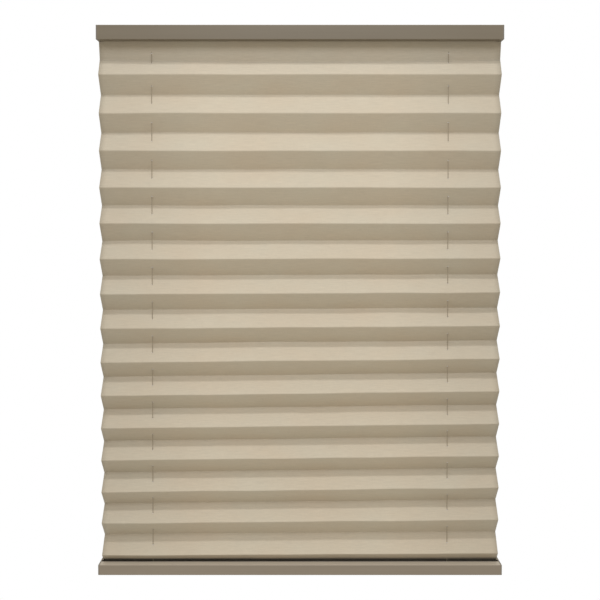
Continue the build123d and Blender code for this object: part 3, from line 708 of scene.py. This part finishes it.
def pleat_cloth_finish():
    """Beige slub cloth, with its pattern along the cloth's own u and v."""
    material, tree, shader = finish_named("pleat_cloth_slub", roughness=0.86)
    shader.inputs["Sheen Weight"].default_value = 0.12
    shader.inputs["Sheen Roughness"].default_value = 0.5
    long_slub = noise(tree, coordinates(tree, "UV", (40, 800, 1)), 1.0, 3.0, 0.55)
    short_slub = noise(tree, coordinates(tree, "UV", (130, 2600, 1)), 1.0, 2.0)
    upright = noise(tree, coordinates(tree, "UV", (1500, 60, 1)), 1.0, 2.0)
    cloudy = noise(tree, coordinates(tree, "UV", (9, 14, 1)), 1.0, 3.0)
    tint = stretch_range(tree, cloudy, 0.3, 0.7)
    base = mix_colours(tree, tint, (0.560, 0.470, 0.352), (0.556, 0.486, 0.374))
    slub = stretch_range(tree, long_slub, 0.28, 0.72, 0.93, 1.05)
    fleck = stretch_range(tree, short_slub, 0.25, 0.75, 0.96, 1.04)
    yarn = stretch_range(tree, upright, 0.25, 0.75, 0.98, 1.02)
    off_middle = combine(tree, "ABSOLUTE", along_axis(tree, coordinates(tree), "X"), 0.0)
    # Painted shade: the colour darkens towards the side edges, where less light falls.
    sides = stretch_range(tree, off_middle, SIDE_FROM, SIDE_TO, 1.0, SIDE_SHADE)
    down = along_axis(tree, coordinates(tree, "UV"), "Y")
    # Painted shade: the last strip of cloth, at the bottom rail, is darkened for the shade in the
    # gap above the rail.
    end = stretch_range(tree, down, CLOTH_LENGTH - END_FROM, CLOTH_LENGTH - END_TO,
                        1.0, END_SHADE)
    # Painted shadow: the cloth above the first valley is darkened for the headrail's shadow.
    first_face = stretch_range(tree, down, FIRST_VALLEY_V, FIRST_VALLEY_V + FIRST_FACE_BLEND,
                               FIRST_FACE_SHADE, 1.0)
    # Painted shade: the first valley's crease is darkened, as shade in the fold.
    off_fold = combine(tree, "ABSOLUTE", combine(tree, "SUBTRACT", down, FIRST_VALLEY_V), 0.0)
    crease = stretch_range(tree, off_fold, CREASE_CORE, CREASE_REACH, CREASE_SHADE, 1.0)
    shade = product(tree, slub, fleck, yarn, sides, end, first_face, crease)
    shaded_base(tree, shader, base, shade)
    weft = stripes(tree, coordinates(tree, "UV", YARNS), "Y", 0.6)
    warp = stripes(tree, coordinates(tree, "UV", YARNS), "X", 0.6)
    fine_relief = bump(tree, combine(tree, "ADD", weft, warp), 0.03 * MM, 0.6)
    relief = bump(tree, long_slub, 0.25 * MM, 0.5, fine_relief)
    tree.links.new(relief, shader.inputs["Normal"])
    return material


pleated_cloth.data.materials.append(pleat_cloth_finish())
print("pleat cloth finished")

# %% [markdown]
# ## Cord, paint, plastic and steel
#
# The braid's colour follows its two sets of strands. The rails wear a satin taupe paint: an
# extrusion keeps faint lines along its length, and sprayed paint a fine orange peel. The rails'
# top faces are painted paler, as painted light from the lamp above. The headrail and its caps
# get a darker copy of the paint and plastic than the bottom rail and its caps, as painted shade
# and painted light. The strips in the rails' slots are near black, as painted shade in the slots.
# Moulded plastic has a soft random grain. Rolled and drawn steel has long streaks.


# %% Cord braid
def cord_braid_finish():
    """Strands in two crossed spirals over the cord's own angle and length."""
    material, tree, shader = finish_named("cord_braid_taupe", roughness=0.7)
    shader.inputs["Sheen Weight"].default_value = 0.2
    uv = coordinates(tree, "UV")
    strands = []
    for turn in (0.9, -0.9):
        mapping = tree.nodes.new("ShaderNodeMapping")
        mapping.inputs["Rotation"].default_value = (0, 0, turn)
        mapping.inputs["Scale"].default_value = (900, 900, 1)
        tree.links.new(uv, mapping.inputs["Vector"])
        strands.append(stripes(tree, mapping.outputs["Vector"]))
    crossed = combine(tree, "MAXIMUM", *strands)
    fuzz = noise(tree, coordinates(tree), 2500, 2.0)
    factor = product(tree, crossed, stretch_range(tree, fuzz, 0.3, 0.7, 0.8, 1.0))
    colour = mix_colours(tree, factor, (0.20, 0.155, 0.105), (0.34, 0.27, 0.19))
    tree.links.new(colour, shader.inputs["Base Color"])
    tree.links.new(bump(tree, crossed, 0.05 * MM), shader.inputs["Normal"])
    return material


braid = cord_braid_finish()
for piece in cord_parts:
    piece.data.materials.append(braid)


# %% Painted rail
# Painted light: the rails' top faces are mixed towards a paler colour, for the lamp above falling
# on them.
TOP_PAINTED_LIGHT_COLOUR, TOP_PAINTED_LIGHT_SHARE = (0.62, 0.54, 0.43), 0.6
TOP_PAINTED_LIGHT_FROM, TOP_PAINTED_LIGHT_FULL = 0.5 * MM, 0.1 * MM


def rail_paint_finish(name, dark, light, top):
    """Satin taupe over an extrusion: lines along X, orange peel, and a painted highlight on its
    top.
    """
    material, tree, shader = finish_named(name, roughness=0.42)
    shader.inputs["Coat Weight"].default_value = 0.15
    shader.inputs["Coat Roughness"].default_value = 0.25
    cloudy = noise(tree, coordinates(tree, "Object", (3, 12, 40)), 1.0, 4.0)
    drawn = noise(tree, coordinates(tree, "Object", (2, 900, 900)), 1.0, 2.0)
    peel = noise(tree, coordinates(tree), 700, 2.0)
    warm = mix_colours(tree, stretch_range(tree, cloudy, 0.3, 0.7), dark, light)
    lines = stretch_range(tree, drawn, 0.2, 0.8, 0.96, 1.04)
    height = along_axis(tree, coordinates(tree), "Z")
    # Painted highlight on the top face, near the given top height.
    painted_top_light = stretch_range(tree, height, top - TOP_PAINTED_LIGHT_FROM, top - TOP_PAINTED_LIGHT_FULL)
    warm = mix_colours(tree, product(tree, painted_top_light, TOP_PAINTED_LIGHT_SHARE), warm, TOP_PAINTED_LIGHT_COLOUR)
    shaded_base(tree, shader, warm, lines)
    gloss = stretch_range(tree, cloudy, 0.2, 0.8, 0.36, 0.50)
    tree.links.new(gloss, shader.inputs["Roughness"])
    fine_relief = bump(tree, drawn, 0.02 * MM, 0.5)
    tree.links.new(bump(tree, peel, 0.03 * MM, 0.4, fine_relief), shader.inputs["Normal"])
    return material


# %% Moulded plastic
def plastic_finish(name, dark, light, roughness, grain=900.0, shine=0.45):
    """Two close shades in soft patches, a spark-eroded grain, and uneven gloss."""
    material, tree, shader = finish_named(name, roughness=roughness)
    shader.inputs["Specular IOR Level"].default_value = shine
    patches = noise(tree, coordinates(tree), 35, 4.0)
    texture = noise(tree, coordinates(tree), grain, 3.0, 0.6)
    colour = mix_colours(tree, stretch_range(tree, patches, 0.3, 0.7), dark, light)
    speck = stretch_range(tree, texture, 0.25, 0.75, 0.95, 1.05)
    shaded_base(tree, shader, colour, speck)
    gloss = stretch_range(tree, texture, 0.2, 0.8, roughness - 0.08, roughness + 0.08)
    tree.links.new(gloss, shader.inputs["Roughness"])
    tree.links.new(bump(tree, texture, 0.03 * MM, 0.6), shader.inputs["Normal"])
    return material


# %% Steel
def steel_finish(name, dark, light, roughness, streak, kind="Object"):
    """Streaks along the rolling direction in colour and height, and dull spots in colour and
    roughness.
    """
    material, tree, shader = finish_named(name, roughness=roughness, metallic=1.0)
    streaks = noise(tree, coordinates(tree, kind, streak), 1.0, 3.0)
    spots = noise(tree, coordinates(tree), 120, 4.0, 0.6)
    colour = mix_colours(tree, stretch_range(tree, streaks, 0.3, 0.7), dark, light)
    dull = stretch_range(tree, spots, 0.45, 0.75, 1.0, 0.82)
    shaded_base(tree, shader, colour, dull)
    rough = stretch_range(tree, spots, 0.3, 0.75, roughness - 0.06, roughness + 0.14)
    tree.links.new(rough, shader.inputs["Roughness"])
    tree.links.new(bump(tree, streaks, 0.02 * MM, 0.5), shader.inputs["Normal"])
    return material


# %% Which finish each part wears
finishes = {
    # Painted shade and painted light: the headrail and its caps wear a darker copy of the same
    # paint and plastic as the bottom rail and its caps, which wear a lighter copy.
    "headrail_paint": rail_paint_finish(
        "headrail_paint_taupe_painted_shade", (0.155, 0.122, 0.080), (0.169, 0.134, 0.089), 0.0),
    "bottom_rail_paint": rail_paint_finish(
        "bottom_rail_paint_taupe_painted_light", (0.244, 0.196, 0.144), (0.262, 0.212, 0.158), -947 * MM),
    "headrail_cap_plastic": plastic_finish(
        "headrail_cap_plastic_taupe_painted_shade", (0.158, 0.132, 0.104), (0.172, 0.146, 0.115), 0.5),
    "bottom_rail_cap_plastic": plastic_finish(
        "bottom_rail_cap_plastic_taupe_painted_light", (0.215, 0.180, 0.140), (0.232, 0.196, 0.153), 0.5),
    # Painted shade: the fabric strips are made near black to stand in for the shade in the rails'
    # slots.
    "strip_plastic": plastic_finish(
        "strip_plastic_dark_painted_shade", (0.020, 0.016, 0.012), (0.028, 0.022, 0.017), 0.7, 600.0, 0.08),
    "motor_plastic": plastic_finish(
        "motor_plastic_grey", (0.64, 0.64, 0.61), (0.72, 0.72, 0.69), 0.5),
    "drum_plastic": plastic_finish(
        "drum_plastic_natural", (0.66, 0.64, 0.58), (0.74, 0.72, 0.66), 0.36, 500.0),
    "cradle_plastic": plastic_finish(
        "cradle_plastic_grey", (0.56, 0.56, 0.54), (0.62, 0.62, 0.60), 0.45),
    "plug_plastic": plastic_finish(
        "plug_plastic_taupe", (0.17, 0.146, 0.115), (0.195, 0.168, 0.132), 0.48),
    "weight_steel": steel_finish(
        "weight_steel_rolled", (0.20, 0.19, 0.18), (0.30, 0.29, 0.28), 0.52, (12, 500, 500)),
    "pin_steel": steel_finish(
        "pin_steel_drawn", (0.52, 0.52, 0.52), (0.66, 0.66, 0.66), 0.26, (900, 900, 20)),
    "screw_steel": steel_finish(
        "screw_steel_zinc", (0.54, 0.55, 0.57), (0.68, 0.69, 0.71), 0.30, (400, 400, 400)),
    "spring_steel": steel_finish(
        "spring_steel_blued", (0.25, 0.28, 0.34), (0.40, 0.43, 0.48), 0.24, (2500, 30, 1), "UV"),
}
spring.data.materials.append(finishes["spring_steel"])
print("finishes made:", len(finishes) + 2)

# %% The CAD parts put on their finishes
worn_by = {
    "headrail_paint": ["headrail"],
    "bottom_rail_paint": ["bottom_rail"],
    "headrail_cap_plastic": ["headrail_end_cap_left", "headrail_end_cap_right"],
    "bottom_rail_cap_plastic": ["bottom_rail_end_cap_left", "bottom_rail_end_cap_right"],
    "strip_plastic": ["fabric_top_strip", "fabric_bottom_strip"],
    "motor_plastic": ["motor_case", "motor_cover"],
    "drum_plastic": ["cord_spool_left", "cord_spool_right", "drive_drum", "storage_drum",
                     "guide_pulley_left", "guide_pulley_right"],
    "cradle_plastic": ["cord_cradle_left", "cord_cradle_right"],
    "plug_plastic": ["cord_plug_left", "cord_plug_right"],
    "weight_steel": ["bottom_rail_weight"],
    "pin_steel": ["drive_pin", "storage_pin", "spool_pin_left", "spool_pin_right",
                  "pulley_pin_left", "pulley_pin_right"],
    "screw_steel": ["motor_cover_screws"],
}
for finish, names in worn_by.items():
    for name in names:
        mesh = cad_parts[name].data
        mesh.materials.clear()
        mesh.materials.append(finishes[finish])
dressed = {name for names in worn_by.values() for name in names}
bare = set(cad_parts) - dressed
print("CAD nodes dressed:", len(dressed), " replaced here:", sorted(bare))

# %% [markdown]
# ## Light, floor and camera
#
# A blind is best seen in soft light from the front, with one stronger lamp high in front of
# it: the lamp lights the faces that look up and leaves those that look down in shade, so
# each pleat reads. The background is plain white and the pale floor lies well below, as the
# blind hangs.


# %% A plain pale floor
FLOOR_HALF, FLOOR_Z, FLOOR_POINTS = 1.2, -1.6, 9

floor_step = np.linspace(-FLOOR_HALF, FLOOR_HALF, FLOOR_POINTS)
floor_x, floor_y = np.meshgrid(floor_step, floor_step)
floor_points = np.stack([floor_x, floor_y, np.full_like(floor_x, FLOOR_Z)], -1)
floor = make_piece("floor", floor_points, grid_faces(FLOOR_POINTS, FLOOR_POINTS))
floor_paint, floor_tree, floor_shader = finish_named("floor_pale", roughness=0.8)
floor_noise = noise(floor_tree, coordinates(floor_tree), 3, 3.0)
floor_colour = mix_colours(floor_tree, floor_noise, (0.82, 0.82, 0.81), (0.88, 0.88, 0.87))
floor_tree.links.new(floor_colour, floor_shader.inputs["Base Color"])
floor.data.materials.append(floor_paint)
floor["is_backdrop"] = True

# %% White to the camera, a warm light to the blind
SURROUND_COLOUR, SURROUND_STRENGTH = (1.0, 0.965, 0.86, 1), 0.60

world = bpy.data.worlds.new("studio")
bpy.context.scene.world = world
world.use_nodes = True
sky_tree = world.node_tree
sky = sky_tree.nodes["Background"]
seen_white = sky_tree.nodes.new("ShaderNodeBackground")
seen_white.inputs["Color"].default_value = (1, 1, 1, 1)
seen_white.inputs["Strength"].default_value = 1.0
sky.inputs["Color"].default_value = SURROUND_COLOUR
sky.inputs["Strength"].default_value = SURROUND_STRENGTH
ray = sky_tree.nodes.new("ShaderNodeLightPath")
chooser = sky_tree.nodes.new("ShaderNodeMixShader")
sky_tree.links.new(ray.outputs["Is Camera Ray"], chooser.inputs[0])
sky_tree.links.new(sky.outputs["Background"], chooser.inputs[1])
sky_tree.links.new(seen_white.outputs["Background"], chooser.inputs[2])
sky_tree.links.new(chooser.outputs["Shader"], sky_tree.nodes["World Output"].inputs["Surface"])


# %% Lamps
def soft_lamp(name, place, target, size, watts, colour):
    """A square area lamp at one point, turned to face another, its size its side."""
    lamp = bpy.data.lights.new(name, "AREA")
    lamp.shape = "SQUARE"
    lamp.size = size
    lamp.energy = watts
    lamp.color = colour
    holder = bpy.data.objects.new(name, lamp)
    holder.location = place
    facing = Vector(target) - Vector(place)
    holder.rotation_euler = facing.to_track_quat("-Z", "Y").to_euler()
    bpy.context.scene.collection.objects.link(holder)


soft_lamp("key_lamp", (0.1, -1.8, 3.0), (0, 0, -0.6), 0.28, 42, (0.96, 1.0, 1.06))
soft_lamp("front_softbox", (0.0, -2.2, 1.35), (0, 0, -0.3), 0.9, 27, (0.93, 1.0, 1.13))

# %% The camera
CAMERA_PLACE = (0.0, -1.805, -0.336)
CAMERA_DIP = 1.3  # degrees below level

lens = bpy.data.cameras.new("camera")
lens.lens = 61.15
lens.sensor_width = 36
lens.shift_y = -0.0983
lens.clip_start = 0.05
camera = bpy.data.objects.new("camera", lens)
camera.location = CAMERA_PLACE
camera.rotation_euler = Euler((math.radians(90 - CAMERA_DIP), 0, 0))
bpy.context.scene.collection.objects.link(camera)
bpy.context.scene.camera = camera
bpy.context.scene.view_settings.view_transform = "Standard"
bpy.context.scene.view_settings.look = "None"

# %% [markdown]
# ## Sizes, then the end
#
# The visual model should fill the CAD model's box and no more. Both boxes' sizes are printed,
# so that they can be compared.

# %% Print the two boxes' sizes
shown_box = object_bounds()
sizes = {"cad": [list(corner) for corner in cad_box],
         "visual": [list(corner) for corner in shown_box]}
for word in ("cad", "visual"):
    low, high = np.array(sizes[word])
    print(word, "size in mm:", ((high - low) / MM).round(1))
